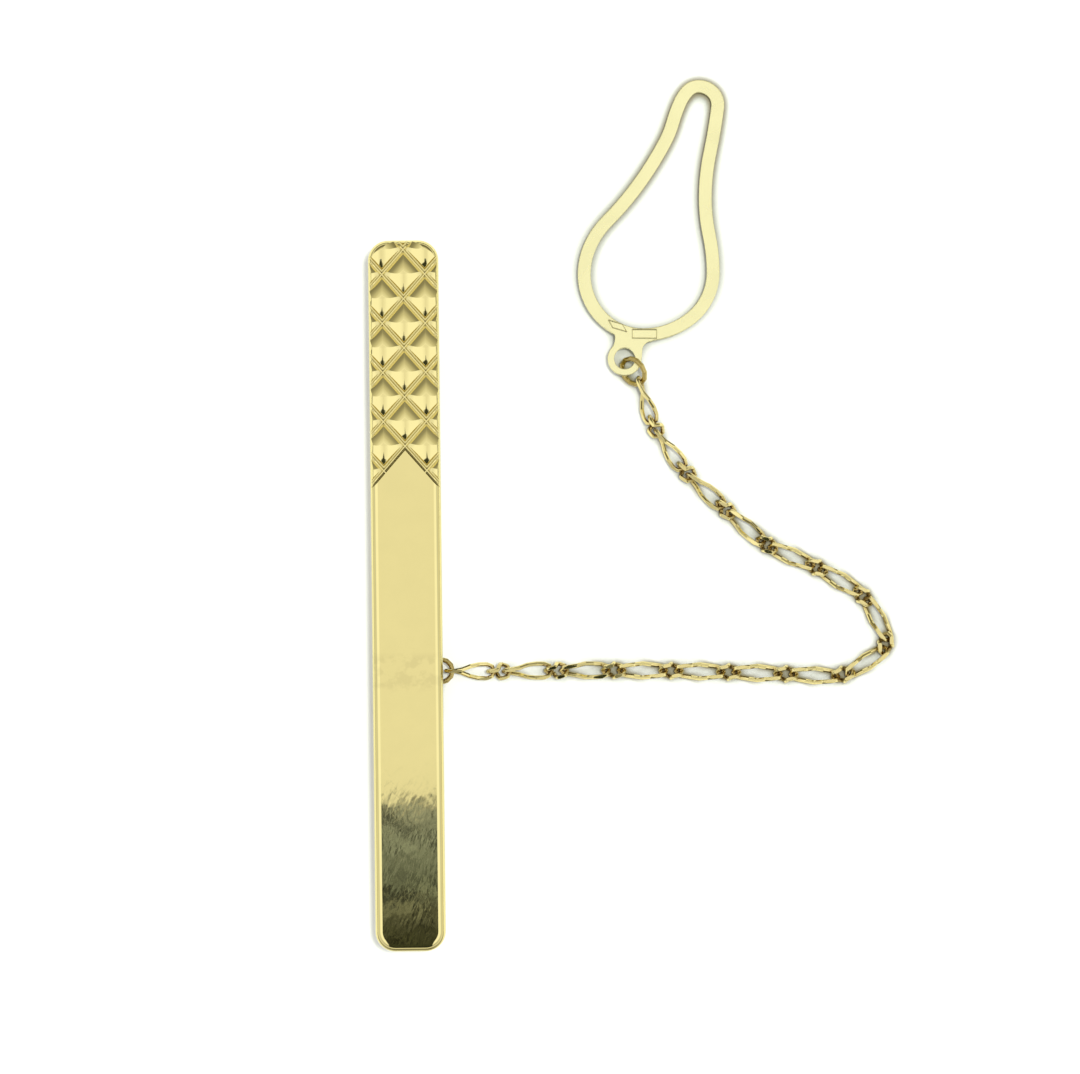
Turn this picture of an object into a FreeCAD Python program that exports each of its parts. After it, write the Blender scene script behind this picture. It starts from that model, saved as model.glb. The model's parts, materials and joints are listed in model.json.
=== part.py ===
import FreeCAD, Part
import Sketcher
import math
import os

# A gilt tie clip with its safety chain: a spring-loaded lever under a patterned bar, a
# flat-cut chain of long and short links, and a flat loop that goes over a shirt button.
# Frame: millimetres, X across the bar, Y along it towards the patterned end, Z up out of
# its face. The origin is under the middle of the bar, on the plane the clip lies on.

Vector = FreeCAD.Vector
doc = FreeCAD.newDocument("tie_clip")

# Driving sizes: alias, value, what it is
SIZES = [
    ("bar_length", 60.0, "front bar, end to end"),
    ("bar_width", 5.94, "front bar, side to side"),
    ("bar_thickness", 1.1, "front bar, back to face"),
    ("bar_corner", 1.7, "radius of the bar's corners in plan"),
    ("bar_edge", 0.62, "radius of the rounded edge of the bar's face"),
    ("lattice_reach", 17.36, "patterned end of the bar to the point of the plain field"),
    ("lattice_along", 4.14, "length of a diamond along the bar"),
    ("lattice_across", 3.62, "width of a diamond across the bar"),
    ("ridge_width", 0.24, "width of a lattice ridge at its foot"),
    ("ridge_crown", 0.1, "width of a lattice ridge at its top"),
    ("ridge_gap", 0.03, "ridge to the foot of a pillow's flank"),
    ("ledge_width", 0.13, "ridge to the foot of a pillow's steep walls"),
    ("wall_run", 0.12, "slope of a steep wall, seen from above"),
    ("plain_run", 0.08, "slope from the last ridges up to the plain face, seen from above"),
    ("relief_depth", 0.26, "depth of the lattice below the face"),
    ("crest_along", 20.0, "radius of a pillow's crest along the bar"),
    ("crest_across", 4.0, "radius of a pillow's crest across the bar"),
    ("flank_radius", 4.0, "radius of a pillow's flanks"),
    ("flank_angle", 22.0, "degrees a flank leans at its foot"),
    ("grip_gap", 2.9, "lever to back of bar, where the cloth goes"),
    ("lever_width", 4.2, "lever, side to side"),
    ("lever_thickness", 0.5, "sheet of the lever"),
    ("lever_corner", 1.3, "radius of the lever's corners in plan"),
    ("thumb_length", 17.3, "hinge pin to the end that is pressed"),
    ("jaw_reach", 34.9, "hinge pin to the end of the jaw"),
    ("jaw_length", 2.4, "toothed pad of the jaw"),
    ("jaw_ramp", 8.0, "slope from the flat of the lever up to the jaw"),
    ("jaw_gap", 0.05, "jaw teeth to back of bar when shut"),
    ("tooth_depth", 0.22, "depth of a jaw tooth"),
    ("hinge_offset", 9.5, "middle of the bar to the hinge pin"),
    ("pin_height", 1.25, "face of the lever to the pin's axis"),
    ("pin_diameter", 0.9, "hinge pin"),
    ("pin_clearance", 0.03, "pin to its holes, on the radius"),
    ("pin_head_diameter", 1.35, "riveted head of the pin"),
    ("pin_head_height", 0.2, "riveted head of the pin"),
    ("boss_radius", 0.95, "round of an ear or a flange about the pin"),
    ("flange_thickness", 0.4, "lever flange that the pin goes through"),
    ("flange_foot", 4.2, "length of a flange where it leaves the lever"),
    ("ear_thickness", 0.4, "bracket ear"),
    ("ear_gap", 0.15, "lever to bracket ear"),
    ("bracket_thickness", 0.4, "base of the bracket, soldered to the bar"),
    ("bracket_tail", 2.0, "hinge pin to the thumb end of the bracket's base"),
    ("chain_eye_offset", 2.2, "hinge pin to the chain eye, along the bar"),
    ("chain_eye_drop", 0.45, "hinge pin down to the chain eye"),
    ("chain_eye_hole", 1.05, "hole of the chain eye"),
    ("chain_eye_radius", 0.8, "outer radius of the chain eye"),
    ("spring_wire", 0.35, "wire of the torsion spring"),
    ("spring_diameter", 1.56, "torsion spring, middle of wire across the coil"),
    ("spring_pitch", 0.85, "torsion spring, turn to turn"),
    ("spring_leg", 6.0, "leg of the torsion spring"),
    ("spring_seat", 0.03, "end of a spring leg to what it presses"),
    ("clip_ring_diameter", 2.35, "ring on the bracket, outside"),
    ("loop_ring_diameter", 2.8, "ring on the button loop, outside"),
    ("ring_wire", 0.42, "wire of both rings"),
    ("ring_slack", 0.13, "play between a ring and the link in it"),
    ("clip_ring_lead", 20.0, "degrees from the chain eye round to the bracket's side"),
    ("loop_ring_tilt", 45.0, "degrees the ring on the button loop leans over"),
    ("long_link_length", 4.41, "long link, outside"),
    ("short_link_length", 2.2, "short link, outside"),
    ("link_width", 1.56, "both links, outside"),
    ("link_wire", 0.36, "wire of the links"),
    ("taut_slack", 0.15, "play between two links in the straight run from the clip"),
    ("loose_slack", 0.26, "play between two links past the bend"),
    ("rest_gap", 0.01, "flat of a link to the plane it lies on"),
    ("link_twist", 45.0, "degrees each end of a link is turned"),
    ("link_thickness", 0.96, "between the flats cut on a link"),
    ("loop_strip", 1.1, "width of the button loop's strip"),
    ("loop_thickness", 0.6, "sheet of the button loop"),
    ("loop_length", 21.07, "button loop, bowl to tip, middle of the strip"),
    ("loop_bowl", 10.94, "width of the bowl, middle of the strip"),
    ("loop_tip", 3.2, "width of the tip, middle of the strip"),
    ("loop_bowl_rise", 5.2, "base of the bowl to its widest place, middle of the strip"),
    ("loop_bowl_shift", 0.54, "base of the bowl to the middle of its widest place, sideways"),
    ("loop_tip_shift", 4.96, "base of the bowl to the tip, sideways"),
    ("loop_shoulder", 4.49, "widest place of the bowl to where its left side leans in"),
    ("loop_neck", 6.38, "widest place of the bowl to the narrow place of its right side"),
    ("loop_eye_diameter", 2.9, "eye of the button loop, outside"),
    ("loop_eye_hole", 1.76, "hole of the button loop's eye"),
    ("mark_depth", 0.06, "depth of the two blank recesses at the web"),
]

# The chain as it lies: heading of each long link in degrees from +X, from clip to loop.
# A short link takes the mean of the two long links beside it.
LONG_HEADINGS = [-1.3, 0.4, -0.6, -1.1, -2.1, -2.4, -3.6]
LONG_HEADINGS += [32.1, 118.1, 149.1, 156.2, 137.8, 136.7, 124.6, 106.0]
TAUT_JOINTS = 13
LOOP_RING_HEADING = 123.7
BUTTON_LOOP_HEADING = 0.0
# Links next to a ring turn on edge and rise to it: degrees at the ring, and how many links do so
CLIP_END_ROLL = 45.0
CLIP_END_LINKS = 6
LOOP_END_ROLL = -60.0
LOOP_END_LINKS = 8
# Wires have many-sided sections, set where their line has turned by this many degrees
WIRE_SIDES = 8
LINK_BEND = 46.0
RING_BEND = 31.0
SPRING_SIDES = 6

sheet = doc.addObject("Spreadsheet::Sheet", "Sizes")
for row, (alias, value, note) in enumerate(SIZES, start=1):
    sheet.set(f"A{row}", note)
    sheet.set(f"B{row}", str(value))
    sheet.setAlias(f"B{row}", alias)
doc.recompute()


class Length:
    """A size as a number and as the expression that gives it from the sheet."""

    def __init__(self, value, text):
        self.value = value
        self.text = text

    def __add__(self, other):
        other = as_length(other)
        return Length(self.value + other.value, f"({self.text} + {other.text})")

    def __sub__(self, other):
        other = as_length(other)
        return Length(self.value - other.value, f"({self.text} - {other.text})")

    def __mul__(self, factor):
        return Length(self.value * factor, f"({self.text} * {factor})")

    def __truediv__(self, divisor):
        return Length(self.value / divisor, f"({self.text} / {divisor})")

    def __neg__(self):
        return Length(-self.value, f"(0 - {self.text})")


def as_length(size):
    if isinstance(size, Length):
        return size
    return Length(size, str(size))


def cell(alias):
    """A sheet size, to bind sketches and features to."""
    return Length(sheet.get(alias), f"Sizes.{alias}")


def number(alias):
    """A sheet size as a plain number, for shapes made by Part's own functions."""
    return float(sheet.get(alias))


# Sketches and features

def new_body(label):
    body = doc.addObject("PartDesign::Body", label)
    body.Label = label
    return body


def origin_plane(body, role):
    return next(f for f in body.Origin.OriginFeatures if f.Role == role)


def new_sketch(body, name, role, offset=None):
    """A sketch on one of the body's origin planes, moved by offset along the sketch's own axes."""
    sketch = body.newObject("Sketcher::SketchObject", name)
    sketch.AttachmentSupport = (origin_plane(body, role), [""])
    sketch.MapMode = "FlatFace"
    for axis, size in (offset or {}).items():
        sketch.setExpression(f"AttachmentOffset.Base.{axis}", size.text)
    return sketch


def pin_point(sketch, geometry, end, x, y):
    """Ties one point of a sketch to its distances from the sketch's origin."""
    for kind, size in (("DistanceX", x), ("DistanceY", y)):
        size = as_length(size)
        if size.value == 0 and size.text == "0":
            line = -2 if kind == "DistanceX" else -1
            sketch.addConstraint(Sketcher.Constraint("PointOnObject", geometry, end, line))
            continue
        index = sketch.addConstraint(Sketcher.Constraint(kind, -1, 1, geometry, end, size.value))
        sketch.setExpression(f"Constraints[{index}]", size.text)


def draw_outline(sketch, corners):
    """Closed outline of straight lines through corners."""
    count = len(corners)
    spots = [Vector(as_length(x).value, as_length(y).value, 0) for x, y in corners]
    lines = [
        sketch.addGeometry(Part.LineSegment(spots[k], spots[(k + 1) % count]), False)
        for k in range(count)
    ]
    for k in range(count):
        sketch.addConstraint(Sketcher.Constraint("Coincident", lines[k], 2, lines[(k + 1) % count], 1))
    for k, (x, y) in enumerate(corners):
        pin_point(sketch, lines[k], 1, x, y)


def draw_rectangle(sketch, left, right, low, high):
    draw_outline(sketch, [(left, low), (right, low), (right, high), (left, high)])


def draw_circle(sketch, x, y, radius):
    centre = Vector(as_length(x).value, as_length(y).value, 0)
    circle = sketch.addGeometry(Part.Circle(centre, Vector(0, 0, 1), radius.value), False)
    pin_point(sketch, circle, 3, x, y)
    index = sketch.addConstraint(Sketcher.Constraint("Radius", circle, radius.value))
    sketch.setExpression(f"Constraints[{index}]", radius.text)


def draw_tab(sketch, x, y, radius, top):
    """Outline of a tab that hangs from top and ends in a half round about (x, y)."""
    left = x - radius
    right = x + radius
    centre = Vector(x.value, y.value, 0)
    round_end = Part.ArcOfCircle(Part.Circle(centre, Vector(0, 0, 1), radius.value), math.pi, 2 * math.pi)
    spots = [Vector(right.value, y.value, 0), Vector(right.value, top.value, 0)]
    spots += [Vector(left.value, top.value, 0), Vector(left.value, y.value, 0)]
    arc = sketch.addGeometry(round_end, False)
    lines = [sketch.addGeometry(Part.LineSegment(spots[k], spots[k + 1]), False) for k in range(3)]
    sketch.addConstraint(Sketcher.Constraint("Tangent", arc, 2, lines[0], 1))
    sketch.addConstraint(Sketcher.Constraint("Coincident", lines[0], 2, lines[1], 1))
    sketch.addConstraint(Sketcher.Constraint("Coincident", lines[1], 2, lines[2], 1))
    sketch.addConstraint(Sketcher.Constraint("Tangent", lines[2], 2, arc, 1))
    sketch.addConstraint(Sketcher.Constraint("Horizontal", lines[1]))
    sketch.addConstraint(Sketcher.Constraint("Vertical", lines[0]))
    pin_point(sketch, arc, 3, x, y)
    index = sketch.addConstraint(Sketcher.Constraint("Radius", arc, radius.value))
    sketch.setExpression(f"Constraints[{index}]", radius.text)
    index = sketch.addConstraint(Sketcher.Constraint("DistanceY", -1, 1, lines[1], 1, top.value))
    sketch.setExpression(f"Constraints[{index}]", top.text)


def add_pad(body, name, sketch, length, midplane=False):
    pad = body.newObject("PartDesign::Pad", name)
    pad.Profile = sketch
    pad.Midplane = midplane
    pad.setExpression("Length", length.text)
    doc.recompute()
    return pad


def add_pocket(body, name, sketch, length=None):
    """A cut through all both ways, or a blind one towards +X when length is given."""
    before = body.Shape.Volume
    pocket = body.newObject("PartDesign::Pocket", name)
    pocket.Profile = sketch
    if length is None:
        pocket.Type = "ThroughAll"
        pocket.Midplane = True
    else:
        pocket.Reversed = True
        pocket.setExpression("Length", length.text)
    doc.recompute()
    if body.Shape.Volume >= before:
        raise RuntimeError(f"{name} cuts nothing")
    return pocket


def edges_where(feature, test):
    """Names of a feature's edges that pass a test on their two end points."""
    names = []
    for index, edge in enumerate(feature.Shape.Edges, start=1):
        ends = [vertex.Point for vertex in edge.Vertexes]
        if len(ends) == 2 and test(*ends):
            names.append(f"Edge{index}")
    return names


def is_upright(a, b):
    return abs(a.x - b.x) + abs(a.y - b.y) < 1e-6


def add_fillet(body, name, radius, test):
    base = body.Tip
    fillet = body.newObject("PartDesign::Fillet", name)
    fillet.Base = (base, edges_where(base, test))
    fillet.setExpression("Radius", radius.text)
    body.Tip = fillet
    doc.recompute()
    return fillet


# Bent wire: arcs, joined arcs and tubes along them

def arc_from(start, tangent, end):
    """The arc that leaves start along tangent and reaches end."""
    chord = end - start
    aside = chord - tangent * chord.dot(tangent)
    if aside.Length < 1e-7:
        return Part.LineSegment(start, end).toShape()
    radius = chord.dot(chord) / (2 * aside.Length)
    centre = start + aside * (radius / aside.Length)
    middle = (start - centre) + (end - centre)
    return Part.Arc(start, centre + middle * (radius / middle.Length), end).toShape()


def biarc(start, start_tangent, end, end_tangent):
    """Two arcs that join in a common tangent between two points with given tangents."""
    across = end - start
    both = start_tangent + end_tangent
    spread = 2 * (1 - start_tangent.dot(end_tangent))
    along = across.dot(both)
    if spread < 1e-9:
        reach = across.dot(across) / (2 * along)
    else:
        reach = (math.sqrt(along * along + spread * across.dot(across)) - along) / spread
    near = start + start_tangent * reach
    far = end - end_tangent * reach
    middle = (near + far) * 0.5
    turn = far - near
    turn.normalize()
    return [arc_from(start, start_tangent, middle), arc_from(middle, turn, end)]


def tube(edges, radius, sides):
    """A solid wire along edges, with a section of many sides that has a round wire's area."""
    first = edges[0]
    start = first.valueAt(first.FirstParameter)
    ahead = first.tangentAt(first.FirstParameter)
    level = ahead.cross(Vector(0, 0, 1))
    if level.Length < 0.1:
        level = ahead.cross(Vector(0, 1, 0))
    level.normalize()
    upright = level.cross(ahead)
    step = 2 * math.pi / sides
    corner = radius * math.sqrt(step / math.sin(step))
    spots = []
    for k in range(sides + 1):
        angle = (k % sides + 0.5) * step
        spots.append(start + level * (corner * math.cos(angle)) + upright * (corner * math.sin(angle)))
    return Part.Wire(edges).makePipeShell([Part.makePolygon(spots)], True, False)


def stations(edges, bend):
    """Points and headings along edges, between which the line turns by bend degrees at most."""
    marks = []
    for edge in edges:
        start = edge.FirstParameter
        span = edge.LastParameter - start
        turn = edge.tangentAt(start).getAngle(edge.tangentAt(start + span))
        steps = max(1, math.ceil(math.degrees(turn) / bend))
        for k in range(steps):
            place = start + span * k / steps
            marks.append((edge.valueAt(place), edge.tangentAt(place)))
    marks.append((edge.valueAt(start + span), edge.tangentAt(start + span)))
    return marks


def closed_wire(half_edges, radius, bend):
    """A closed wire from the edges of one half; the other half is the same, turned half round Z."""
    marks = stations(half_edges, bend)
    arms = [marks[0][1].cross(Vector(0, 0, 1)).normalize()]
    for (_, before), (_, after) in zip(marks, marks[1:]):
        arms.append(FreeCAD.Rotation(before, after).multVec(arms[-1]))
    # the section turns a little along the half, so that the two halves meet corner to corner
    wanted = Vector(-arms[0].x, -arms[0].y, arms[0].z)
    heading = marks[-1][1]
    turn = math.degrees(math.atan2(arms[-1].cross(wanted).dot(heading), arms[-1].dot(wanted)))
    step = 360 / WIRE_SIDES
    turn -= step * round(turn / step)
    corner = radius * math.sqrt(math.radians(step) / math.sin(math.radians(step)))
    sections = []
    for k, ((spot, ahead), arm) in enumerate(zip(marks, arms)):
        eased = turn * k / (len(marks) - 1)
        turns = [FreeCAD.Rotation(ahead, eased + (side + 0.5) * step) for side in range(WIRE_SIDES)]
        spots = [spot + rotation.multVec(arm) * corner for rotation in turns]
        sections.append(Part.makePolygon(spots + [spots[0]]))
    one_half = Part.makeLoft(sections, True, True)
    other_half = one_half.copy()
    other_half.rotate(Vector(0, 0, 0), Vector(0, 0, 1), 180)
    return one_half.fuse(other_half)


def add_shape(label, shape, placement=FreeCAD.Placement()):
    piece = doc.addObject("Part::Feature", label)
    piece.Label = label
    piece.Shape = shape
    piece.Placement = placement
    return piece


# Levels and stations that several pieces share

bar_back = cell("lever_thickness") + cell("grip_gap")
bar_top = bar_back + cell("bar_thickness")
hinge_y = -cell("hinge_offset")
pin_z = cell("lever_thickness") + cell("pin_height")
ear_inside = cell("lever_width") / 2 + cell("ear_gap")
ear_outside = ear_inside + cell("ear_thickness")
bracket_low = bar_back - cell("bracket_thickness")
chain_eye_y = hinge_y + cell("chain_eye_offset")
chain_eye_z = pin_z - cell("chain_eye_drop")
jaw_end = hinge_y + cell("jaw_reach")


# Front bar: a round-edged blank, sunk where the lattice is, with ridges and pillows in it

def make_bar_blank():
    body = new_body("bar_blank")
    sketch = new_sketch(body, "bar_outline", "XY_Plane", {"z": bar_back})
    half_width = cell("bar_width") / 2
    half_length = cell("bar_length") / 2
    draw_rectangle(sketch, -half_width, half_width, -half_length, half_length)
    add_pad(body, "bar_pad", sketch, cell("bar_thickness"))
    add_fillet(body, "bar_corners", cell("bar_corner"), is_upright)
    top = bar_top.value
    add_fillet(body, "bar_edges", cell("bar_edge"), lambda a, b: abs(a.z - top) + abs(b.z - top) < 1e-6)
    return body


def prismoid(low_corners, low, high_corners, high):
    """A solid with flat sides between two outlines that have as many corners."""
    lower = [Vector(x, y, low) for x, y in low_corners]
    upper = [Vector(x, y, high) for x, y in high_corners]
    count = len(lower)
    loops = [lower, upper]
    for k in range(count):
        after = (k + 1) % count
        loops.append([lower[k], lower[after], upper[after], upper[k]])
    faces = [Part.Face(Part.makePolygon(loop + [loop[0]])) for loop in loops]
    shell = Part.makeShell(faces)
    shell.sewShape()
    solid = Part.makeSolid(Part.Shell(shell.Faces))
    if solid.Volume < 0:
        solid.reverse()
    return solid


class Lattice:
    """Sizes of the diamond lattice that its pieces share."""

    def __init__(self):
        self.across = number("lattice_across") / 2
        self.along = number("lattice_along") / 2
        self.side = math.hypot(self.across, self.along)
        self.normal_x = self.along / self.side
        self.normal_y = self.across / self.side
        self.reach = self.across * self.along / self.side
        self.half_ridge = number("ridge_width") / 2
        self.top = bar_top.value
        self.floor = self.top - number("relief_depth")
        self.clear = self.top + number("relief_depth")
        self.point = number("bar_length") / 2 - number("lattice_reach")
        self.wide = number("bar_width") / 2 + self.across


def pillow_outline(lattice, x, y, flank_foot, wall_foot):
    """A diamond about (x, y) whose flank sides and wall sides stand at their own distances."""
    half = (flank_foot + wall_foot) / 2 / lattice.normal_x
    shift = (flank_foot - wall_foot) / 2 / lattice.normal_y
    low = y - wall_foot / lattice.normal_y
    high = y + flank_foot / lattice.normal_y
    return [(x - half, y + shift), (x, low), (x + half, y + shift), (x, high)]


def pillow_shape(lattice, x, y):
    """A crest curved both ways, two round flanks towards the patterned end, two steep walls."""
    flank_foot = lattice.reach - lattice.half_ridge - number("ridge_gap")
    wall_foot = lattice.reach - lattice.half_ridge - number("ledge_width")
    rise = lattice.clear - lattice.floor
    wall_head = wall_foot - number("wall_run") * rise / number("relief_depth")
    low_corners = pillow_outline(lattice, x, y, flank_foot, wall_foot)
    high_corners = pillow_outline(lattice, x, y, flank_foot, wall_head)
    shape = prismoid(low_corners, lattice.floor, high_corners, lattice.clear)

    along = number("crest_along")
    across = number("crest_across")
    crest = Part.makeTorus(along - across, across, Vector(x, y, lattice.top - along), Vector(1, 0, 0))
    shape = shape.common(crest)

    radius = number("flank_radius")
    lean = math.radians(number("flank_angle"))
    for hand in (-1, 1):
        outward = Vector(hand * lattice.normal_x, lattice.normal_y, 0)
        run = Vector(-hand * lattice.normal_y, lattice.normal_x, 0)
        axis = Vector(x, y, lattice.floor - radius * math.cos(lean))
        axis += outward * (flank_foot - radius * math.sin(lean)) - run * lattice.side
        shape = shape.common(Part.makeCylinder(radius, 2 * lattice.side, axis, run))
    return shape


def ridge_shape(lattice, y, hand):
    """One ridge right across the bar through (0, y), narrower at its top."""
    lean = hand * lattice.wide * lattice.along / lattice.across
    wide = lattice.wide
    outlines = []
    for width in (number("ridge_width"), number("ridge_crown")):
        half = width / 2 / lattice.normal_y
        corners = [(-wide, y - lean - half), (wide, y + lean - half)]
        outlines.append(corners + [(wide, y + lean + half), (-wide, y - lean + half)])
    return prismoid(outlines[0], lattice.floor, outlines[1], lattice.top)


def field_shape(lattice):
    """The sunk field, up to a slope past the last two ridges."""
    end = number("bar_length") / 2 + lattice.along
    drop = lattice.wide * lattice.along / lattice.across
    outlines = []
    foot = lattice.half_ridge + number("ridge_gap")
    head = foot + number("plain_run") * (lattice.clear - lattice.floor) / number("relief_depth")
    for margin in (foot, head):
        tip = lattice.point - margin / lattice.normal_y
        corners = [(0, tip), (lattice.wide, tip - drop), (lattice.wide, end)]
        outlines.append(corners + [(-lattice.wide, end), (-lattice.wide, tip - drop)])
    return prismoid(outlines[0], lattice.floor, outlines[1], lattice.clear)


def make_front_bar():
    blank = make_bar_blank()
    lattice = Lattice()
    field = add_shape("lattice_field", field_shape(lattice))
    rows = int(2 * number("lattice_reach") / number("lattice_along")) + 3
    columns = int(lattice.wide / lattice.across) + 1
    relief = []
    for column in range(-columns, columns + 1):
        for row in range(-columns, rows):
            x = column * lattice.across
            y = lattice.point + row * lattice.along
            past_ridges = y > lattice.point - abs(column) * lattice.along + lattice.along / 2
            if (column + row) % 2 and past_ridges:
                relief.append(pillow_shape(lattice, x, y))
    for row in range(-2, rows, 2):
        for hand in (-1, 1):
            relief.append(ridge_shape(lattice, lattice.point + row * lattice.along, hand))
    envelope = blank.Shape.common(field.Shape)
    pattern = add_shape("lattice_relief", relief[0].multiFuse(relief[1:]).common(envelope))

    sunk = doc.addObject("Part::Cut", "bar_sunk")
    sunk.Base = blank
    sunk.Tool = field
    bar = doc.addObject("Part::MultiFuse", "front_bar")
    bar.Label = "front_bar"
    bar.Shapes = [sunk, pattern]
    return bar


# Hinge bracket: a soldered base with two ears, and an eye for the chain on one of them

def make_hinge_bracket():
    body = new_body("hinge_bracket")
    base = new_sketch(body, "bracket_base", "XY_Plane", {"z": bracket_low})
    front = chain_eye_y + cell("chain_eye_radius")
    draw_rectangle(base, -ear_outside, ear_outside, hinge_y - cell("bracket_tail"), front)
    add_pad(body, "bracket_base_pad", base, cell("bracket_thickness"))
    for side, start in (("left", -ear_outside), ("right", ear_inside)):
        ear = new_sketch(body, f"{side}_ear", "YZ_Plane", {"z": start})
        draw_tab(ear, hinge_y, pin_z, cell("boss_radius"), bracket_low)
        add_pad(body, f"{side}_ear_pad", ear, cell("ear_thickness"))
    eye = new_sketch(body, "chain_eye", "YZ_Plane", {"z": ear_inside})
    draw_tab(eye, chain_eye_y, chain_eye_z, cell("chain_eye_radius"), bracket_low)
    add_pad(body, "chain_eye_pad", eye, cell("ear_thickness"))
    pin_hole = new_sketch(body, "bracket_pin_hole", "YZ_Plane")
    draw_circle(pin_hole, hinge_y, pin_z, cell("pin_diameter") / 2 + cell("pin_clearance"))
    add_pocket(body, "bracket_pin_bore", pin_hole)
    eye_hole = new_sketch(body, "chain_eye_hole", "YZ_Plane", {"z": ear_inside})
    draw_circle(eye_hole, chain_eye_y, chain_eye_z, cell("chain_eye_hole") / 2)
    add_pocket(body, "chain_eye_bore", eye_hole, cell("ear_thickness"))
    return body


# Hinge pin: a turned pin, riveted over outside the ears

def make_hinge_pin():
    body = new_body("hinge_pin")
    sketch = new_sketch(body, "pin_half", "XY_Plane", {"y": hinge_y, "z": pin_z})
    shank = cell("pin_diameter") / 2
    head = cell("pin_head_diameter") / 2
    shoulder = ear_outside
    end = ear_outside + cell("pin_head_height")
    corners = [(-end, 0), (end, 0), (end, head), (shoulder, head), (shoulder, shank)]
    corners += [(-shoulder, shank), (-shoulder, head), (-end, head)]
    draw_outline(sketch, corners)
    turned = body.newObject("PartDesign::Revolution", "pin_turned")
    turned.Profile = sketch
    turned.ReferenceAxis = (sketch, ["H_Axis"])
    turned.Angle = 360
    doc.recompute()
    return body


# Clip lever: a bent strip with a toothed jaw, two flanges for the pin and a thumb end

def make_clip_lever():
    body = new_body("clip_lever")
    thick = cell("lever_thickness")
    thumb_end = hinge_y - cell("thumb_length")
    pad_start = jaw_end - cell("jaw_length")
    ramp_start = pad_start - cell("jaw_ramp")
    tooth_top = bar_back - cell("jaw_gap")
    tooth_root = tooth_top - cell("tooth_depth")
    pad_low = tooth_root - thick
    teeth = 4
    corners = [(thumb_end, 0), (ramp_start, 0), (pad_start, pad_low), (jaw_end, pad_low)]
    for tooth in range(teeth):
        corners.append((jaw_end - cell("jaw_length") * (tooth / teeth), tooth_top))
        corners.append((jaw_end - cell("jaw_length") * ((tooth + 0.7) / teeth), tooth_root))
    corners += [(pad_start, tooth_root), (ramp_start, thick), (thumb_end, thick)]
    strip = new_sketch(body, "lever_side", "YZ_Plane")
    draw_outline(strip, corners)
    add_pad(body, "lever_strip", strip, cell("lever_width"), midplane=True)
    add_fillet(body, "lever_corners", cell("lever_corner"), is_upright_end(thumb_end.value))
    half_foot = cell("flange_foot") / 2
    flange_starts = (-(cell("lever_width") / 2), cell("lever_width") / 2 - cell("flange_thickness"))
    for side, start in zip(("left", "right"), flange_starts):
        flange = new_sketch(body, f"{side}_flange", "YZ_Plane", {"z": start})
        shoulder = cell("boss_radius") * 0.8
        rise = pin_z + cell("boss_radius") * 0.6
        low_corners = [(hinge_y - half_foot, thick * 0.5), (hinge_y + half_foot * 0.6, thick * 0.5)]
        draw_outline(flange, low_corners + [(hinge_y + shoulder, rise), (hinge_y - shoulder, rise)])
        add_pad(body, f"{side}_flange_pad", flange, cell("flange_thickness"))
        boss = new_sketch(body, f"{side}_boss", "YZ_Plane", {"z": start})
        draw_circle(boss, hinge_y, pin_z, cell("boss_radius"))
        add_pad(body, f"{side}_boss_pad", boss, cell("flange_thickness"))
    hole = new_sketch(body, "lever_pin_hole", "YZ_Plane")
    draw_circle(hole, hinge_y, pin_z, cell("pin_diameter") / 2 + cell("pin_clearance"))
    add_pocket(body, "lever_pin_bore", hole)
    return body


def is_upright_end(y):
    """A test for upright edges at one end of a strip along Y."""
    return lambda a, b: is_upright(a, b) and abs(a.y - y) < 1e-6


# Torsion spring: two and a half turns round the pin, its legs pressing the thumb ends apart

def make_torsion_spring():
    radius = number("spring_diameter") / 2
    half_wire = number("spring_wire") / 2
    pitch = number("spring_pitch")
    leg = number("spring_leg")
    seat = number("spring_seat")
    turns = 2.5
    low_room = pin_z.value - radius - half_wire - number("lever_thickness") - seat
    high_room = bar_back.value - pin_z.value - radius - half_wire - seat
    low_lean = math.asin(low_room / leg)
    high_lean = math.asin(high_room / leg)
    start_angle = -math.pi / 2 + low_lean
    end_angle = -math.pi / 2 + turns * 2 * math.pi - high_lean
    middle_angle = (start_angle + end_angle) / 2

    def spot(angle):
        shift = pitch * (angle - middle_angle) / (2 * math.pi)
        return Vector(shift, radius * math.cos(angle), radius * math.sin(angle))

    def heading(angle):
        ahead = Vector(pitch / (2 * math.pi), -radius * math.sin(angle), radius * math.cos(angle))
        ahead.normalize()
        return ahead

    quarters = 10
    angles = [start_angle + (end_angle - start_angle) * k / quarters for k in range(quarters + 1)]
    edges = [Part.LineSegment(spot(angles[0]) - heading(angles[0]) * leg, spot(angles[0])).toShape()]
    for one, two in zip(angles, angles[1:]):
        edges += biarc(spot(one), heading(one), spot(two), heading(two))
    edges.append(Part.LineSegment(spot(angles[-1]), spot(angles[-1]) + heading(angles[-1]) * leg).toShape())

    # least gap of the coil to itself, between points more than half a turn apart
    samples = 40 * quarters
    steps = [start_angle + (end_angle - start_angle) * k / samples for k in range(samples + 1)]
    apart = math.pi
    gaps = [
        (spot(one) - spot(two)).Length - 2 * half_wire
        for one in steps
        for two in steps
        if two - one > apart
    ]
    print(f"torsion spring: least gap to itself {min(gaps):.2f} mm")
    middle = FreeCAD.Placement(Vector(0, hinge_y.value, pin_z.value), FreeCAD.Rotation())
    return add_shape("torsion_spring", tube(edges, half_wire, SPRING_SIDES), middle)


# Chain: rings and links

def ring_shape(middle_radius, half_wire):
    """A round ring in its own XY plane."""
    right = Vector(middle_radius, 0, 0)
    top = Vector(0, middle_radius, 0)
    return closed_wire([Part.Arc(right, top, right * -1).toShape()], half_wire, RING_BEND)


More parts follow.
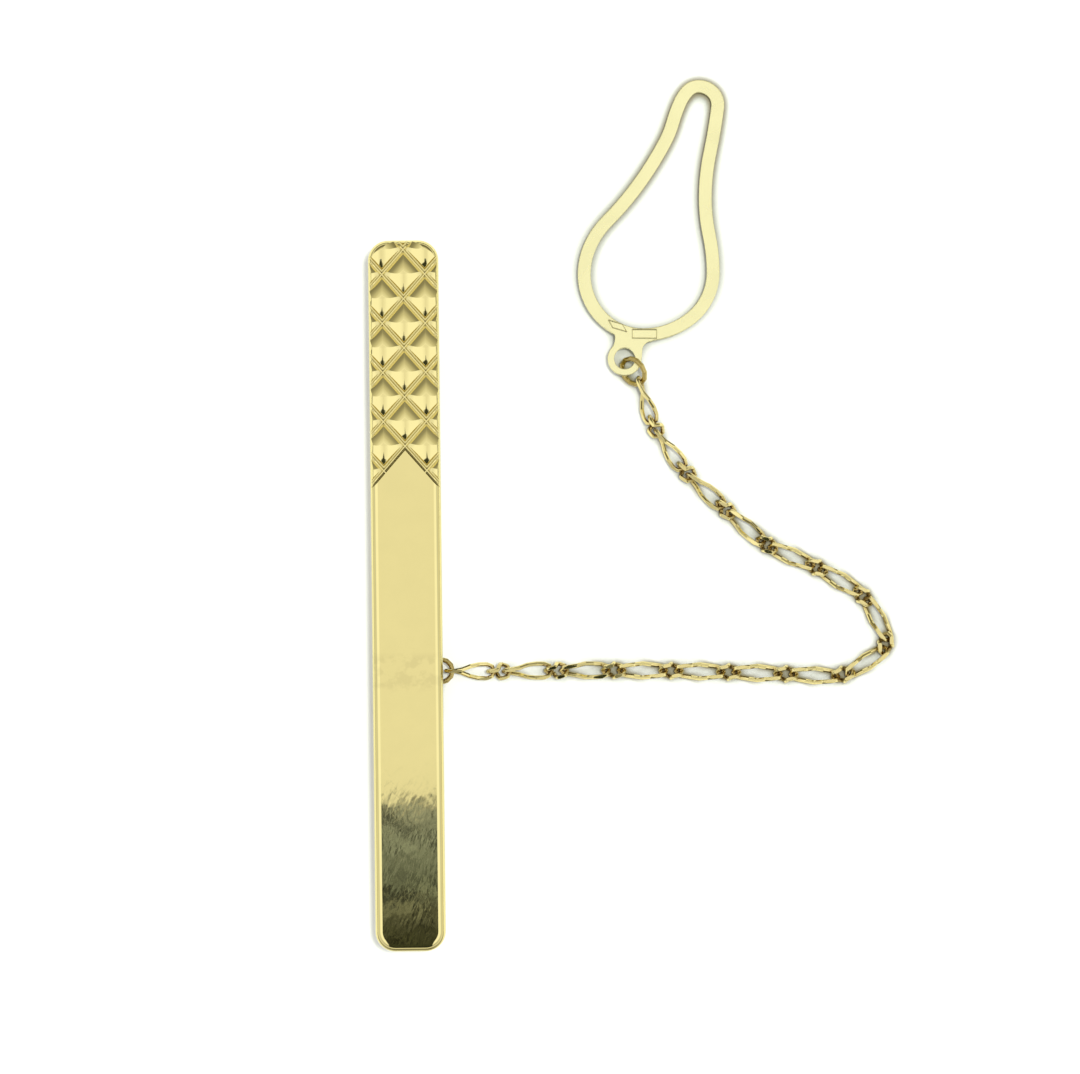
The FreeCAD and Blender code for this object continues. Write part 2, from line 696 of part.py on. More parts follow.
def link_shape(outer_length):
    """A twisted wire link along X with a flat cut on both faces.

    Its left end is turned so that the +Y side is up, and its right end so that the -Y side is.
    """
    wire = number("link_wire")
    half = (outer_length - wire) / 2
    bow = (number("link_width") - wire) / 2
    twist = math.radians(number("link_twist"))
    shoulder = half - bow
    wide = bow * math.cos(twist)
    high = bow * math.sin(twist)
    rail_slope = math.atan(bow * twist * math.pi / 2 / shoulder)
    along_rail = Vector(math.cos(rail_slope), 0, math.sin(rail_slope))
    right = Vector(1, 0, 0)
    knots = [
        (Vector(0, -bow, 0), along_rail),
        (Vector(shoulder, -wide, high), right),
        (Vector(half, 0, 0), Vector(0, wide, -high).normalize()),
        (Vector(shoulder, wide, -high), right * -1),
        (Vector(0, bow, 0), Vector(-along_rail.x, 0, along_rail.z)),
    ]
    edges = []
    for (start, leaving), (end, arriving) in zip(knots, knots[1:]):
        edges += biarc(start, leaving, end, arriving)
    thickness = number("link_thickness")
    corner = Vector(-outer_length, -outer_length, -thickness / 2)
    slab = Part.makeBox(2 * outer_length, 2 * outer_length, thickness, corner)
    return closed_wire(edges, wire / 2, LINK_BEND).common(slab)


def heading_vector(degrees):
    return Vector(math.cos(math.radians(degrees)), math.sin(math.radians(degrees)), 0)


def lay_chain():
    """Names and headings of the links from the clip ring to the loop ring."""
    names = []
    headings = []
    for index, heading in enumerate(LONG_HEADINGS, start=1):
        if index > 1:
            names.append(f"short_link_{index - 1:02d}")
            headings.append((headings[-1] + heading) / 2)
        names.append(f"long_link_{index:02d}")
        headings.append(heading)
    return names, headings


wire = number("link_wire")
ring_wire = number("ring_wire")
taut_hold = wire + number("taut_slack")
loose_hold = wire + number("loose_slack")
ring_hold = (wire + ring_wire) / 2 + number("ring_slack")
clip_ring_radius = (number("clip_ring_diameter") - ring_wire) / 2
loop_ring_radius = (number("loop_ring_diameter") - ring_wire) / 2
flat_height = number("link_thickness") / 2 + number("rest_gap")
loop_ring_height = loop_ring_radius * math.sin(math.radians(number("loop_ring_tilt"))) + ring_wire * 0.55


def pivot_heights(count, clip_height, loop_height):
    """Heights of the chain's pivots: it comes down from the clip and rises to the loop ring."""
    heights = []
    for k in range(count):
        from_clip = max(0.0, 1 - k / (CLIP_END_LINKS + 2))
        from_loop = max(0.0, 1 - (count - 1 - k) / (LOOP_END_LINKS + 2))
        rise = (clip_height - flat_height) * from_clip**1.6
        rise += (loop_height - flat_height) * from_loop**1.2
        heights.append(flat_height + rise)
    return heights


def make_chain():
    """Rings and links, placed in turn from the bracket's eye. Returns the joints' points."""
    names, headings = lay_chain()
    heights = pivot_heights(len(names) + 1, chain_eye_z.value, loop_ring_height)
    lead = math.radians(number("clip_ring_lead"))
    eye = Vector((ear_inside + cell("ear_thickness") / 2).value, chain_eye_y.value, chain_eye_z.value)
    ring_centre = eye + Vector(math.sin(lead), math.cos(lead), 0) * clip_ring_radius
    ring = ring_shape(clip_ring_radius, ring_wire / 2)
    add_shape("clip_ring", ring, FreeCAD.Placement(ring_centre, FreeCAD.Rotation()))
    pivots = {"clip_ring": eye}

    outside = {kind: number(f"{kind}_link_length") for kind in ("long", "short")}
    shapes = {kind: link_shape(length) for kind, length in outside.items()}
    lengths = {kind: length - wire for kind, length in outside.items()}
    pivot = ring_centre + heading_vector(headings[0]) * (clip_ring_radius - ring_hold / 2)
    last = len(names) - 1
    holds = [ring_hold] + [taut_hold] * TAUT_JOINTS + [loose_hold] * (last - TAUT_JOINTS) + [ring_hold]
    for k, (name, heading) in enumerate(zip(names, headings)):
        kind = name.split("_")[0]
        near = (lengths[kind] - holds[k]) / 2
        far = (lengths[kind] - holds[k + 1]) / 2
        ahead = heading_vector(heading)
        next_pivot = pivot + ahead * (near + far)
        next_pivot.z = heights[k + 1]
        drop = pivot.z - next_pivot.z
        pitch = math.degrees(math.atan2(drop, near + far))
        roll = CLIP_END_ROLL * max(0.0, 1 - k / CLIP_END_LINKS)
        roll += LOOP_END_ROLL * max(0.0, 1 - (last - k) / LOOP_END_LINKS)
        centre = pivot + (next_pivot - pivot) * (near / (near + far))
        placement = FreeCAD.Placement(centre, FreeCAD.Rotation(heading, pitch, roll))
        add_shape(name, shapes[kind], placement)
        pivots[name] = pivot
        pivot = next_pivot

    ahead = heading_vector(LOOP_RING_HEADING)
    pivots["loop_ring"] = pivot
    centre = pivot + ahead * (loop_ring_radius - ring_hold / 2)
    tilt = FreeCAD.Rotation(LOOP_RING_HEADING, 0, -number("loop_ring_tilt"))
    ring = ring_shape(loop_ring_radius, ring_wire / 2)
    add_shape("loop_ring", ring, FreeCAD.Placement(centre, tilt))
    pivots["button_loop"] = centre + ahead * (loop_ring_radius + 0.12)
    return pivots


# Button loop: a flat pear-shaped strip with an eye at its base, drawn from the eye's centre

def button_loop_shape():
    strip = number("loop_strip")
    thick = number("loop_thickness")
    bowl = number("loop_bowl") / 2
    tip = number("loop_tip") / 2
    base = Vector(1.58, 2.0, 0)
    bowl_middle = base + Vector(number("loop_bowl_shift"), number("loop_bowl_rise"), 0)
    top = base + Vector(number("loop_tip_shift"), number("loop_length"), 0)
    shoulder = number("loop_shoulder")
    neck = number("loop_neck")
    # points of the strip's middle line and the heading there, round from the base
    knots = [
        (base, 179.4),
        (bowl_middle + Vector(-bowl, 0, 0), 89.4),
        (bowl_middle + Vector(-bowl + 2.0, shoulder, 0), 44.4),
        (top + Vector(-tip - 1.32, -4.73, 0), 61.4),
        (top + Vector(-tip, -1.37, 0), 65.4),
        (top, -0.6),
        (top + Vector(tip, -1.75, 0), -97.6),
        (bowl_middle + Vector(bowl - 0.6, neck, 0), -90.6),
        (bowl_middle + Vector(bowl, 0.05, 0), -90.6),
        (base, -180.6),
    ]
    edges = []
    for (start, leaving), (end, arriving) in zip(knots, knots[1:]):
        edges += biarc(start, heading_vector(leaving), end, heading_vector(arriving))
    middle_line = Part.Wire(edges)
    outside = Part.Face(middle_line.makeOffset2D(strip / 2))
    inside = Part.Face(middle_line.makeOffset2D(-strip / 2))
    up = Vector(0, 0, thick)
    frame = outside.cut(inside).extrude(up)
    eye = Part.makeCylinder(number("loop_eye_diameter") / 2, thick)
    hole = Part.makeCylinder(number("loop_eye_hole") / 2, thick)
    web = web_face(number("loop_eye_diameter") / 2).extrude(up)
    shape = frame.fuse(web).fuse(eye).cut(hole).removeSplitter()
    for mark in blank_marks(base, thick):
        shape = shape.cut(mark)
    return shape


def web_face(eye_radius):
    """The web from the eye's two sides up into the bowl, with a hollow at each side."""
    left_foot = Vector(-0.87 * eye_radius, 0.5 * eye_radius, 0)
    right_foot = Vector(eye_radius, 0, 0)
    left_head = Vector(-1.05, 2.6, 0)
    right_turn = Vector(1.53, 0.85, 0)
    right_head = Vector(2.35, 1.42, 0)
    left_side = Part.Arc(left_foot, Vector(-0.8, 1.75, 0), left_head).toShape()
    right_side = Part.Arc(right_head, Vector(1.74, 1.2, 0), right_turn).toShape()
    corners = [left_head, Vector(0.6, 2.2, 0), Vector(2.5, 1.9, 0), right_head]
    edges = [Part.LineSegment(one, two).toShape() for one, two in zip(corners, corners[1:])]
    edges = [left_side] + edges + [right_side]
    foot = [right_turn, right_foot, Vector(0, 0, 0), left_foot]
    edges += [Part.LineSegment(one, two).toShape() for one, two in zip(foot, foot[1:])]
    return Part.Face(Part.Wire(edges))


def blank_marks(base, thick):
    """Two shallow blank recesses in the strip above the web: a lozenge and a rectangle."""
    depth = number("mark_depth")
    low = thick - depth
    lozenge = [(-0.95, 0.1), (-0.3, -0.33), (0.95, -0.1), (0.3, 0.33)]
    rectangle = [(-1.05, -0.38), (1.05, -0.38), (1.05, 0.38), (-1.05, 0.38)]
    marks = []
    for corners, turn, shift in (
        (lozenge, -27.0, Vector(-2.15, 0.78, 0)),
        (rectangle, -1.0, Vector(0.12, 0.08, 0)),
    ):
        mark = prismoid(corners, low, corners, thick + depth)
        mark.rotate(Vector(0, 0, 0), Vector(0, 0, 1), turn)
        mark.translate(base + shift)
        marks.append(mark)
    return marks


def place_button_loop(pivots):
    eye = pivots["button_loop"]
    shape = button_loop_shape()
    # the eye stands on the ring, and the far end of the loop lies on the plane
    reach = shape.BoundBox.YMax
    rise = eye.z - number("loop_thickness") / 2
    pitch = math.degrees(math.atan2(rise, reach))
    lean = FreeCAD.Rotation(Vector(1, 0, 0), -pitch)
    turn = FreeCAD.Rotation(Vector(0, 0, 1), BUTTON_LOOP_HEADING)
    half_sheet = FreeCAD.Placement(Vector(0, 0, -number("loop_thickness") / 2), FreeCAD.Rotation())
    placement = FreeCAD.Placement(eye, turn.multiply(lean)).multiply(half_sheet)
    add_shape("button_loop", shape, placement)


make_front_bar()
make_hinge_bracket()
make_hinge_pin()
make_clip_lever()
make_torsion_spring()
joint_points = make_chain()
place_button_loop(joint_points)
doc.recompute()

# Every object has to be sound before anything is written
HELPERS = ("bar_blank", "lattice_field", "lattice_relief", "bar_sunk")
sub_parts = []
for item in doc.Objects:
    if "Invalid" in item.State or "Error" in item.State:
        raise RuntimeError(f"{item.Label} failed: {item.State}")
    is_piece = item.TypeId in ("PartDesign::Body", "Part::Feature", "Part::MultiFuse")
    if is_piece and item.Label not in HELPERS:
        sub_parts.append(item)
for item in sub_parts:
    if item.Shape.isNull() or not item.Shape.isValid() or len(item.Shape.Solids) != 1:
        raise RuntimeError(f"{item.Label} is not one sound solid")

os.makedirs("parts", exist_ok=True)
for item in sub_parts:
    item.Shape.exportStep(f"parts/{item.Label}.step")
print(f"{len(sub_parts)} sub-parts written")
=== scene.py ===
import bpy
import json
import math
from mathutils import Matrix, Vector


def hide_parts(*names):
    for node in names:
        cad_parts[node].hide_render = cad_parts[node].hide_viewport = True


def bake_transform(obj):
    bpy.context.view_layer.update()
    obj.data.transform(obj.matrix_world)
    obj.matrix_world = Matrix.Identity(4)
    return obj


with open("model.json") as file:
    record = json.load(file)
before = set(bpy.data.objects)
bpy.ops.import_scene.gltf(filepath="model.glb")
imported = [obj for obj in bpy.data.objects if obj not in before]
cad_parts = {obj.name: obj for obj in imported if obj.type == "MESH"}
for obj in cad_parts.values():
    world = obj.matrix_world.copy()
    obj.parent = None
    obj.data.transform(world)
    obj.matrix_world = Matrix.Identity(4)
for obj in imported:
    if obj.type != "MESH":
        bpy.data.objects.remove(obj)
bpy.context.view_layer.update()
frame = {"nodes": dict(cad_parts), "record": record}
scene = bpy.context.scene
scene.view_settings.view_transform = "Standard"
MM = 0.001
WHITE = (1, 1, 1, 1)


# Node helpers

def new_material(name):
    material = bpy.data.materials.new(name)
    material.use_nodes = True
    tree = material.node_tree
    tree.nodes.clear()
    output = tree.nodes.new("ShaderNodeOutputMaterial")
    shader = tree.nodes.new("ShaderNodeBsdfPrincipled")
    tree.links.new(shader.outputs["BSDF"], output.inputs["Surface"])
    return material, tree, shader


def add_node(tree, kind, inputs=None, **settings):
    """A node with settings on itself and values or sockets on its inputs."""
    node = tree.nodes.new(kind)
    for key, value in settings.items():
        setattr(node, key, value)
    for key, value in (inputs or {}).items():
        if isinstance(value, bpy.types.NodeSocket):
            tree.links.new(value, node.inputs[key])
        else:
            node.inputs[key].default_value = value
    return node


def ramp(tree, source, stops):
    node = add_node(tree, "ShaderNodeValToRGB", {"Fac": source})
    elements = node.color_ramp.elements
    while len(elements) < len(stops):
        elements.new(0.5)
    for element, (place, colour) in zip(elements, stops):
        element.position = place
        element.color = (*colour, 1.0)
    return node.outputs["Color"]


def grey(value):
    return (value, value, value)


def calc(tree, operation, first, second=0.0):
    return add_node(tree, "ShaderNodeMath", {0: first, 1: second}, operation=operation).outputs[0]


def times(tree, first, second):
    return calc(tree, "MULTIPLY", first, second)


def span(tree, source, low, high, kind="SMOOTHSTEP"):
    """0 at low and 1 at high."""
    inputs = {"Value": source, "From Min": low, "From Max": high}
    return add_node(tree, "ShaderNodeMapRange", inputs, interpolation_type=kind).outputs["Result"]


def blend(tree, amount, first, second, kind="MIX"):
    """For colours: first at amount 0, second at amount 1."""
    inputs = {0: amount, 6: first, 7: second}
    return add_node(tree, "ShaderNodeMix", inputs, data_type="RGBA", blend_type=kind).outputs[2]


def split(tree, vector):
    return add_node(tree, "ShaderNodeSeparateXYZ", {0: vector}).outputs


def object_place(tree):
    return add_node(tree, "ShaderNodeTexCoord").outputs["Object"]


def noise(tree, place, scale, detail=3.0):
    inputs = {"Vector": place, "Scale": scale, "Detail": detail, "Roughness": 0.55}
    return add_node(tree, "ShaderNodeTexNoise", inputs).outputs["Fac"]


def drawn_out(tree, place, turn, factor):
    """The place turned about Z and drawn out along Y, for patterns with a direction."""
    inputs = {"Vector": place, "Rotation": (0, 0, turn), "Scale": (1.0, factor, 1.0)}
    return add_node(tree, "ShaderNodeMapping", inputs, vector_type="TEXTURE").outputs["Vector"]


def openness(tree, distance, samples):
    """1 in the open, less where another surface is nearer than the distance."""
    inputs = {"Distance": distance}
    return add_node(tree, "ShaderNodeAmbientOcclusion", inputs, samples=samples).outputs["AO"]


# Gilt metal: polished, edges worn soft, fine wiping scratches and a little tarnish

CLOUD_SCALE = 420.0
SCRATCH_STRETCH = 14.0
SCRATCH_WIDTH = (0.6, 0.75)
SCRATCH_ROUGHNESS = (0.4, 0.4, 0.4, 1)
HAZE_FACTOR = 1.5


def hairlines(tree, place, turn, scale):
    """Thin short lines along one direction: 1 on a scratch, 0 elsewhere."""
    lines = noise(tree, drawn_out(tree, place, turn, SCRATCH_STRETCH), scale, 2.0)
    return span(tree, lines, *SCRATCH_WIDTH)


def gilt(name, colour, roughness, scratch, tarnish, soft_edge):
    material, tree, shader = new_material(name)
    place = object_place(tree)
    cloud = noise(tree, place, CLOUD_SCALE)
    dull = tuple(c * (1 - tarnish) for c in colour)
    tree.links.new(ramp(tree, cloud, [(0.35, dull), (0.65, colour)]), shader.inputs["Base Color"])
    one_way = hairlines(tree, place, 0.7, 11000.0)
    other_way = hairlines(tree, place, -0.9, 9000.0)
    scratches = times(tree, calc(tree, "MAXIMUM", one_way, other_way), scratch)
    haze = ramp(tree, cloud, [(0.3, grey(roughness)), (0.7, grey(roughness * HAZE_FACTOR))])
    gloss = blend(tree, scratches, haze, SCRATCH_ROUGHNESS)
    tree.links.new(gloss, shader.inputs["Roughness"])
    worn = add_node(tree, "ShaderNodeBevel", {"Radius": soft_edge}, samples=6)
    tree.links.new(worn.outputs["Normal"], shader.inputs["Normal"])
    shader.inputs["Metallic"].default_value = 1.0
    return material, tree, shader


def linked(shader, key):
    """The socket that feeds this input of the shader."""
    return shader.inputs[key].links[0].from_socket


def tint_gilt(tree, shader, amount, colour):
    tint = blend(tree, amount, linked(shader, "Base Color"), colour)
    tree.links.new(tint, shader.inputs["Base Color"])


def paint_hollow_shade(tree, shader, reach, open_level, shut_level, colour):
    """Painted shade: the colour where the surface is shut in, the gilt elsewhere."""
    hollow = span(tree, openness(tree, reach, 6), open_level, shut_level)
    tint_gilt(tree, shader, hollow, colour)


# Bar: slightly wavy, with painted shade in the grooves, duller where a thumb has touched it

WAVE_TURN = -0.24
WAVE_STRETCH = 2.8
WAVE_SCALE = 2500.0
WAVE_HEIGHT = 0.0008 * MM
THUMB_START = (-8.3 * MM, -7.4 * MM)
THUMB_END = (-4.6 * MM, -5.4 * MM)
THUMB_SCALE = 900.0
THUMB_COLOUR = (0.74, 0.64, 0.28, 1)
GROOVE_SHADE_COLOUR = (0.38, 0.33, 0.13, 1)


def add_waves(tree, shader, place):
    height = noise(tree, drawn_out(tree, place, WAVE_TURN, WAVE_STRETCH), WAVE_SCALE, 1.5)
    inputs = {"Height": height, "Strength": 1.0, "Distance": WAVE_HEIGHT}
    inputs["Normal"] = linked(shader, "Normal")
    wavy = add_node(tree, "ShaderNodeBump", inputs)
    tree.links.new(wavy.outputs["Normal"], shader.inputs["Normal"])


def add_thumb_mark(tree, shader, place):
    along = split(tree, place)["Y"]
    band = times(tree, span(tree, along, *THUMB_START), span(tree, along, *THUMB_END))
    blotch = span(tree, noise(tree, place, THUMB_SCALE, 4.0), 0.42, 0.6)
    tint_gilt(tree, shader, times(tree, band, blotch), THUMB_COLOUR)


def gilt_bar(name):
    material, tree, shader = gilt(
        name, colour=(0.82, 0.71, 0.31), roughness=0.015, scratch=0.06, tarnish=0.02, soft_edge=0.03 * MM)
    place = object_place(tree)
    add_waves(tree, shader, place)
    add_thumb_mark(tree, shader, place)
    # painted shade: darker where the grooves shut the surface in
    paint_hollow_shade(tree, shader, reach=0.2 * MM, open_level=0.75, shut_level=0.35, colour=GROOVE_SHADE_COLOUR)
    return material


# Chain: bright on the cut flats, brown with painted shade where links sit in each other

JOINT_SHADE_COLOUR = (0.40, 0.275, 0.085, 1)


def gilt_chain(name):
    material, tree, shader = gilt(
        name, colour=(0.86, 0.73, 0.32), roughness=0.07, scratch=0.1, tarnish=0.05, soft_edge=0.06 * MM)
    # painted shade: brown where the links close each other in
    paint_hollow_shade(tree, shader, reach=0.8 * MM, open_level=0.98, shut_level=0.6, colour=JOINT_SHADE_COLOUR)
    return material


# Loop: pale satin, with painted shade round the floor of the stamped recesses

RECESS_SHADE_COLOUR = (0.50, 0.42, 0.16, 1)


def gilt_loop(name):
    material, tree, shader = gilt(
        name, colour=(0.95, 0.89, 0.48), roughness=0.2, scratch=0.1, tarnish=0.03, soft_edge=0.12 * MM)
    # painted shade round the floor of the recesses
    paint_hollow_shade(tree, shader, reach=0.12 * MM, open_level=0.97, shut_level=0.6, colour=RECESS_SHADE_COLOUR)
    return material


# Lever, bracket and pin

def gilt_clip(name):
    material, tree, shader = gilt(
        name, colour=(0.78, 0.63, 0.27), roughness=0.16, scratch=0.3, tarnish=0.10, soft_edge=0.05 * MM)
    return material


# Rings, darker than the rest: painted shade, as the ring at the bar lies in the bar's shadow

def gilt_ring(name):
    # the darker colour is painted shade
    material, tree, shader = gilt(
        name, colour=(0.58, 0.45, 0.16), roughness=0.12, scratch=0.1, tarnish=0.12, soft_edge=0.1 * MM)
    return material


# Spring: drawn steel wire

STEEL_SCALE = 2600.0


def spring_steel(name):
    material, tree, shader = new_material(name)
    drawn = noise(tree, object_place(tree), STEEL_SCALE, 4.0)
    shade = ramp(tree, drawn, [(0.35, grey(0.34)), (0.7, grey(0.46))])
    gloss = ramp(tree, drawn, [(0.35, grey(0.24)), (0.7, grey(0.4))])
    tree.links.new(shade, shader.inputs["Base Color"])
    tree.links.new(gloss, shader.inputs["Roughness"])
    shader.inputs["Metallic"].default_value = 1.0
    return material


# Each piece gets the material of its slot

makers = {
    "gilt_bar": gilt_bar,
    "gilt_clip": gilt_clip,
    "gilt_ring": gilt_ring,
    "gilt_chain": gilt_chain,
    "gilt_loop": gilt_loop,
    "spring_steel": spring_steel,
}
materials = {slot: make(slot) for slot, make in makers.items()}
for entry in frame["record"]["subparts"]:
    piece = frame["nodes"][entry["node"]]
    piece.data.materials.clear()
    piece.data.materials.append(materials[entry["material_slot"]])


# Torsion spring: a copy of its mesh, baked in place, stands in for the original, which is hidden


def bend_spring(name):
    spring = bpy.data.objects.new(name, frame["nodes"]["torsion_spring"].data.copy())
    scene.collection.objects.link(spring)
    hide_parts("torsion_spring")
    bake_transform(spring)


bend_spring("bending_spring")


# Stage: pale floor, white to the camera, that keeps the shadow, with painted shadow beside the pieces
# Each kind of nearness is a distance and the openness at which it starts and ends

FLOOR_HALF = 1.5
FLOOR_Z = -0.02 * MM
FLOOR_GLOW = 0.31
# The glow fades and the colour darkens near the pieces: painted shadow. The front colour is a painted
# dark reflection, seen only in the metal.
SEEN_NEARNESS = (1.8 * MM, 0.4, 0.76)
MIRRORED_NEARNESS = (12 * MM, 0.6, 0.97)
SHADED_NEARNESS = (1.1 * MM, 0.64, 0.87)
CONTACT_NEARNESS = (0.6 * MM, 0.62, 0.9)
FLOOR_COLOUR = (0.60, 0.62, 0.56, 1)
SHADED_COLOUR = (0.27, 0.285, 0.215, 1)
CONTACT_SHADOW_COLOUR = (0.22, 0.20, 0.115, 1)
FRONT_REFLECTION_SHADE = (0.06, 0.06, 0.04, 1)
FRONT_EDGE = (-34 * MM, -38 * MM)


def open_floor(tree, distance, low, high):
    """0 close beside a piece, 1 on the open floor."""
    return span(tree, openness(tree, distance, 8), low, high)


def glow_with_painted_shadow(tree, path, mirrored):
    # painted shadow: the glow fades close beside the pieces, to the camera and in the metal
    seen = times(tree, path["Is Camera Ray"], open_floor(tree, *SEEN_NEARNESS))
    reflected = times(tree, mirrored, open_floor(tree, *MIRRORED_NEARNESS))
    return times(tree, calc(tree, "MAXIMUM", seen, reflected), FLOOR_GLOW)


def painted_floor_shadow(tree, mirrored):
    """Painted shadow beside the pieces, and in the metal also a painted dark reflection on the
    photographer's side.
    """
    tint = blend(tree, open_floor(tree, *SHADED_NEARNESS), SHADED_COLOUR, FLOOR_COLOUR)
    tint = blend(tree, open_floor(tree, *CONTACT_NEARNESS), CONTACT_SHADOW_COLOUR, tint)
    front = span(tree, split(tree, object_place(tree))["Y"], *FRONT_EDGE)
    return blend(tree, times(tree, mirrored, front), tint, FRONT_REFLECTION_SHADE)


def floor_material():
    material, tree, shader = new_material("floor")
    shader.inputs["Roughness"].default_value = 0.9
    shader.inputs["Specular IOR Level"].default_value = 0.0
    shader.inputs["Emission Color"].default_value = WHITE
    path = add_node(tree, "ShaderNodeLightPath").outputs
    mirrored = calc(tree, "MAXIMUM", path["Is Glossy Ray"], path["Is Transmission Ray"])
    tree.links.new(glow_with_painted_shadow(tree, path, mirrored), shader.inputs["Emission Strength"])
    tree.links.new(painted_floor_shadow(tree, mirrored), shader.inputs["Base Color"])
    return material


def add_floor(half):
    mesh = bpy.data.meshes.new("floor")
    corners = [(-half, -half, 0), (half, -half, 0), (half, half, 0), (-half, half, 0)]
    mesh.from_pydata(corners, [], [(0, 1, 2, 3)])
    mesh.materials.append(floor_material())
    floor = bpy.data.objects.new("floor", mesh)
    floor.matrix_world = Matrix.Translation((0, 0, FLOOR_Z))
    scene.collection.objects.link(floor)


add_floor(FLOOR_HALF)


# Light: a white tent, dark where the photographer stands, dim beyond the patterned end
# Places on the tent are given by how far a ray leans from straight up

LOWEST_RAY = 0.05
FIGURE_REACH = (0.03, 0.08)
FIGURE_STOPS = [
    (0.0, (1, 1, 1)),
    (0.12, (0.98, 0.98, 0.97)),
    (0.158, (0.24, 0.27, 0.31)),
    (0.24, (0.21, 0.245, 0.28)),
    (0.36, (0.155, 0.185, 0.195)),
    (0.44, (0.13, 0.14, 0.13)),
    (0.51, (0.05, 0.055, 0.04)),
    (1.0, (0.04, 0.045, 0.03)),
]
FIGURE_SHIFT = 0.02
FIGURE_HALF_WIDTH = 0.055
FIGURE_WIDENING = 0.35
FIGURE_LEAST_WIDTH = 0.02
FIGURE_SIDES = (1.25, 0.95)
FLECK_SCALE = 450.0
FLECK_STOPS = [(0.39, grey(0.05)), (0.61, grey(2.0))]
FLECK_START = (0.035, 0.039)


def photographer(sky, lean_x, lean_y):
    """The dark figure over the plain end: flecked inside, white outside it."""
    towards = times(sky, lean_y, -1.0)
    figure = ramp(sky, span(sky, towards, *FIGURE_REACH, "LINEAR"), FIGURE_STOPS)
    half_width = calc(sky, "ADD", times(sky, towards, FIGURE_WIDENING), FIGURE_HALF_WIDTH)
    half_width = calc(sky, "MAXIMUM", half_width, FIGURE_LEAST_WIDTH)
    sideways = calc(sky, "ABSOLUTE", calc(sky, "ADD", lean_x, FIGURE_SHIFT))
    inside = span(sky, calc(sky, "DIVIDE", sideways, half_width), *FIGURE_SIDES)
    place = add_node(sky, "ShaderNodeCombineXYZ", {0: lean_x, 1: lean_y}).outputs[0]
    flecks = ramp(sky, noise(sky, place, FLECK_SCALE), FLECK_STOPS)
    flecked = blend(sky, 1.0, figure, flecks, "MULTIPLY")
    figure = blend(sky, span(sky, towards, *FLECK_START), figure, flecked)
    return blend(sky, inside, WHITE, figure)


BACK_LEAN = (0.1, 0.7)
BACK_STOPS = [(0.0, (1, 1, 1)), (0.4, (0.6, 0.58, 0.5)), (1.0, (0.26, 0.25, 0.2))]
PANEL_LEAN = (0.05, 0.2)
PANEL_STOPS = [(0.0, (1, 1, 1)), (1.0, (1.22, 1.24, 1.28))]
END_STOPS = [(0.0, grey(0.18)), (0.55, grey(0.28)), (0.76, grey(0.7)), (0.86, grey(1.0))]
SIDE_STOPS = [(0.0, grey(0.5)), (0.5, grey(0.5)), (0.76, grey(0.8)), (0.86, grey(1.0))]
SIDE_START = (0.35, 0.85)


def back_wall(sky, lean_y):
    return ramp(sky, span(sky, lean_y, *BACK_LEAN), BACK_STOPS)


def low_walls(sky, ray):
    """Dim at the two ends of the bar, lighter at its sides."""
    sideways = span(sky, calc(sky, "ABSOLUTE", ray["X"]), *SIDE_START)
    return blend(sky, sideways, ramp(sky, ray["Z"], END_STOPS), ramp(sky, ray["Z"], SIDE_STOPS))


def panels(sky, lean_x, lean_y):
    """A little brighter all round than straight above."""
    squares = calc(sky, "ADD", calc(sky, "POWER", lean_x, 2.0), calc(sky, "POWER", lean_y, 2.0))
    return ramp(sky, span(sky, calc(sky, "SQRT", squares), *PANEL_LEAN), PANEL_STOPS)


STRIP_FOOT = (0.16, 0.24)
STRIP_TOP = (0.56, 0.47)
STRIP_COLOUR = (0.88, 0.88, 0.86, 1)


def add_strip(sky, ray, tent):
    """A bright strip low all round, which lights the face in views from the side."""
    strip = times(sky, span(sky, ray["Z"], *STRIP_FOOT), span(sky, ray["Z"], *STRIP_TOP))
    return blend(sky, strip, tent, STRIP_COLOUR)


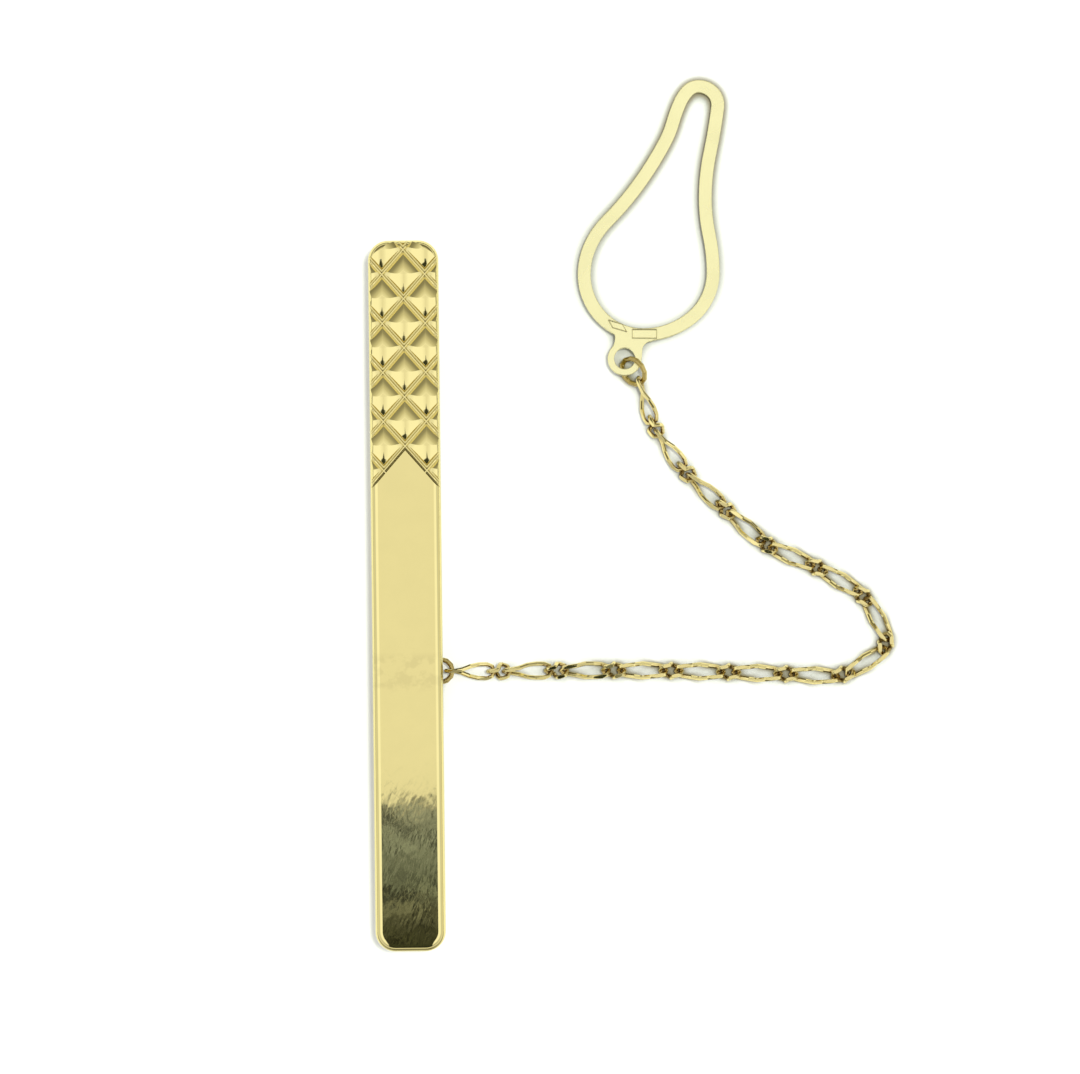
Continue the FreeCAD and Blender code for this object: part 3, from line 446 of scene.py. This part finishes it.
def add_tent():
    world = bpy.data.worlds.new("tent")
    scene.world = world
    world.use_nodes = True
    sky = world.node_tree
    ray = split(sky, add_node(sky, "ShaderNodeTexCoord").outputs["Generated"])
    height = calc(sky, "MAXIMUM", ray["Z"], LOWEST_RAY)
    lean_x = calc(sky, "DIVIDE", ray["X"], height)
    lean_y = calc(sky, "DIVIDE", ray["Y"], height)
    tent = photographer(sky, lean_x, lean_y)
    for wall in (back_wall(sky, lean_y), low_walls(sky, ray), panels(sky, lean_x, lean_y)):
        tent = blend(sky, 1.0, tent, wall, "MULTIPLY")
    tent = add_strip(sky, ray, tent)
    seen = add_node(sky, "ShaderNodeLightPath").outputs["Is Camera Ray"]
    background = sky.nodes["Background"]
    sky.links.new(blend(sky, seen, tent, WHITE), background.inputs["Color"])
    background.inputs["Strength"].default_value = 1.0


add_tent()


# A lamp high to the right for the floor's narrow shadow; the metal doesn't mirror it

def add_sun(name, lean_right, lean_up, angle, strength):
    light = bpy.data.lights.new(name, "SUN")
    light.energy = strength
    light.angle = angle
    lamp = bpy.data.objects.new(name, light)
    lamp.rotation_euler = Vector((-lean_right, -lean_up, -1)).to_track_quat("-Z", "Y").to_euler()
    lamp.visible_glossy = False
    scene.collection.objects.link(lamp)


add_sun("key", lean_right=0.12, lean_up=0.07, angle=math.radians(6), strength=2.6)


# Camera straight above, turned by the small lean of the bar in the picture

IMAGE_WIDTH = 1080
MM_PER_PIXEL = 0.0843
SENSOR_WIDTH = 36.0
DISTANCE = 0.6
ROLL = math.radians(0.64)
CENTRE_X = 11.288 * MM
CENTRE_Y = 4.848 * MM
FACE_HEIGHT = 4.5 * MM


def add_camera():
    lens = bpy.data.cameras.new("camera")
    lens.sensor_width = SENSOR_WIDTH
    view_width = IMAGE_WIDTH * MM_PER_PIXEL * MM
    lens.lens = SENSOR_WIDTH * DISTANCE / view_width
    lens.clip_start = 0.01
    lens.clip_end = 10.0
    camera = bpy.data.objects.new("camera", lens)
    place = Matrix.Translation((CENTRE_X, CENTRE_Y, FACE_HEIGHT + DISTANCE))
    camera.matrix_world = place @ Matrix.Rotation(-ROLL, 4, "Z")
    scene.collection.objects.link(camera)
    scene.camera = camera


add_camera()
